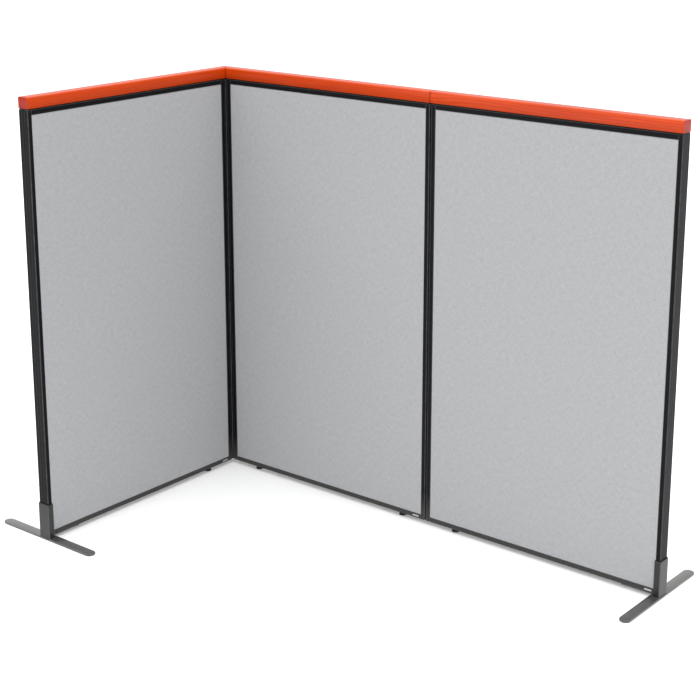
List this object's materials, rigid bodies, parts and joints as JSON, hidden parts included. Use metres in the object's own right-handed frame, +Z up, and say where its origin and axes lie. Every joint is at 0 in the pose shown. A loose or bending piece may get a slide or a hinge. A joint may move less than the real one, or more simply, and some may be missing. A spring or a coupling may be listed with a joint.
{
  "type": "partition wall",
  "caption": "Free-standing corner partition wall of cloth-covered framed panels with wood caps, flat feet and levelling glides.",
  "frame": {"origin": "centre of the footprint's bounding box, on the floor", "axes": "+Z up; +X along the two panels in line, from the corner to the far foot; the return panel runs from the corner towards -Y"},
  "size_m": [2.11, 1.183, 1.5448],
  "materials": {
    "frame_paint": "satin powder coat",
    "black_rail": "matt black",
    "board": "pressed glass-fibre board",
    "cloth": "woven, stretched flat",
    "cherry_wood": "cherry stain, satin lacquer",
    "plate_metal": "satin",
    "joint_plastic": "matt black",
    "foot_paint": "satin powder coat",
    "glide_nylon": "satin",
    "zinc_steel": "zinc plated",
    "bracket_metal": "mill"
  },
  "bodies": {
    "wall": {"cap_screws": "zinc_steel", "corner_brackets": "bracket_metal", "corner_cap": "cherry_wood", "corner_post": "frame_paint", "corner_strip_middle": "joint_plastic", "corner_strip_return": "joint_plastic", "end_panel_back_board": "board", "end_panel_back_cloth": "cloth", "end_panel_bottom_rail": "frame_paint", "end_panel_cap_rail": "black_rail", "end_panel_front_board": "board", "end_panel_front_cloth": "cloth", "end_panel_left_stile": "frame_paint", "end_panel_nameplate": "plate_metal", "end_panel_right_stile": "frame_paint", "end_panel_top_rail": "frame_paint", "end_panel_wood_cap": "cherry_wood", "far_end_strip": "frame_paint", "far_foot_bar": "foot_paint", "far_foot_sleeve": "foot_paint", "far_foot_tongue": "foot_paint", "foot_screws": "zinc_steel", "frame_screws": "zinc_steel", "glide_nuts": "zinc_steel", "middle_panel_back_board": "board", "middle_panel_back_cloth": "cloth", "middle_panel_bottom_rail": "frame_paint", "middle_panel_cap_rail": "black_rail", "middle_panel_front_board": "board", "middle_panel_front_cloth": "cloth", "middle_panel_left_stile": "frame_paint", "middle_panel_nameplate": "plate_metal", "middle_panel_right_stile": "frame_paint", "middle_panel_top_rail": "frame_paint", "middle_panel_wood_cap": "cherry_wood", "return_end_strip": "frame_paint", "return_foot_bar": "foot_paint", "return_foot_sleeve": "foot_paint", "return_foot_tongue": "foot_paint", "return_panel_back_board": "board", "return_panel_back_cloth": "cloth", "return_panel_bottom_rail": "frame_paint", "return_panel_cap_rail": "black_rail", "return_panel_front_board": "board", "return_panel_front_cloth": "cloth", "return_panel_left_stile": "frame_paint", "return_panel_nameplate": "plate_metal", "return_panel_right_stile": "frame_paint", "return_panel_top_rail": "frame_paint", "return_panel_wood_cap": "cherry_wood", "straight_strip": "joint_plastic"},
    "glide_1": {"glide_stud_1": "zinc_steel", "glide_pad_1": "glide_nylon"},
    "glide_2": {"glide_stud_2": "zinc_steel", "glide_pad_2": "glide_nylon"},
    "glide_3": {"glide_stud_3": "zinc_steel", "glide_pad_3": "glide_nylon"},
    "glide_4": {"glide_stud_4": "zinc_steel", "glide_pad_4": "glide_nylon"}
  },
  "joints": [
    {"name": "glide_1_height", "type": "slide", "parent": "wall", "child": "glide_1", "axis": [0, 0, -1], "range_m": [0, 0.01]},
    {"name": "glide_2_height", "type": "slide", "parent": "wall", "child": "glide_2", "axis": [0, 0, -1], "range_m": [0, 0.01]},
    {"name": "glide_3_height", "type": "slide", "parent": "wall", "child": "glide_3", "axis": [0, 0, -1], "range_m": [0, 0.01]},
    {"name": "glide_4_height", "type": "slide", "parent": "wall", "child": "glide_4", "axis": [0, 0, -1], "range_m": [0, 0.01]}
  ]
}
